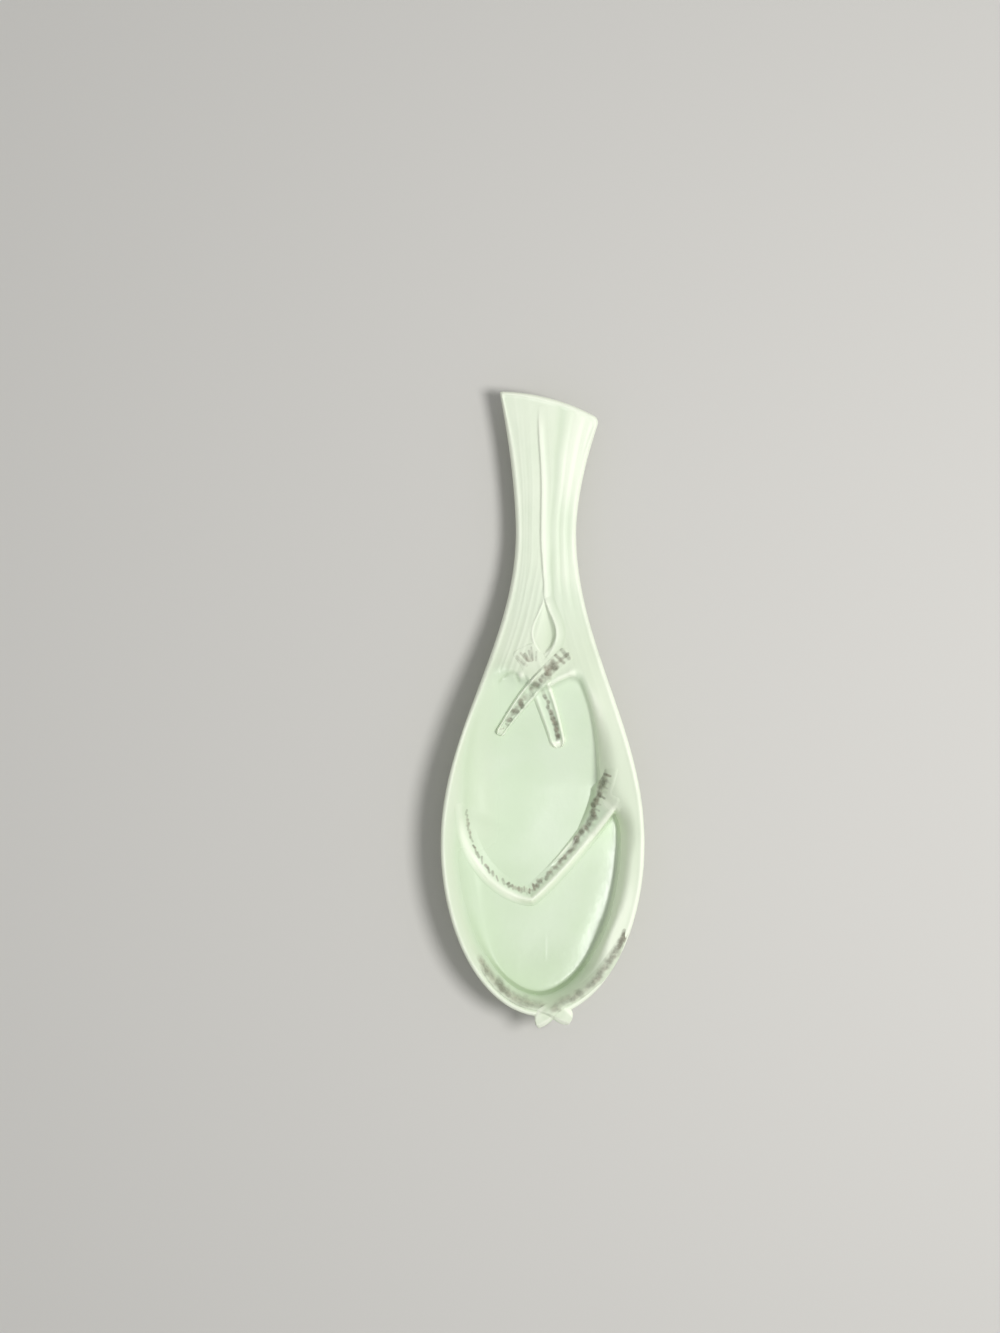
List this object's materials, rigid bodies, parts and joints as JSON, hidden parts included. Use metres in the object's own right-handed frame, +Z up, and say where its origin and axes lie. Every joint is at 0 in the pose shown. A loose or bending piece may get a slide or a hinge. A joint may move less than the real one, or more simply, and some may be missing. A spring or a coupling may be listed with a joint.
{
  "type": "spoon rest",
  "caption": "Pod-shaped glazed ceramic spoon rest: flared stalk handle, shallow bowl parted into wells by a raised leaf edge, crossed leaf tips, forked vein and an oval foot ring.",
  "frame": {"origin": "under the middle of the part's bounding box, at the height of the table it stands on", "axes": "+Y along the part towards the handle, +Z up out of the wells, +X to the right when the handle points away"},
  "size_m": [0.0764, 0.2398, 0.0246],
  "materials": {
    "celadon_glaze": "glossy pale green glaze, thinner and whiter on raised edges",
    "brushed_glaze": "glossy pale green glaze over short brown brush strokes",
    "bare_clay": "unglazed, fine matt clay"
  },
  "bodies": {
    "root": {"tray": "celadon_glaze", "well_divider": "brushed_glaze", "long_leaf_tip": "brushed_glaze", "short_leaf_tip": "brushed_glaze", "stalk_vein": "celadon_glaze", "vein_fork_left": "celadon_glaze", "vein_fork_right": "celadon_glaze", "end_leaf_over": "brushed_glaze", "end_leaf_under": "brushed_glaze", "foot_ring": "bare_clay"}
  },
  "joints": []
}
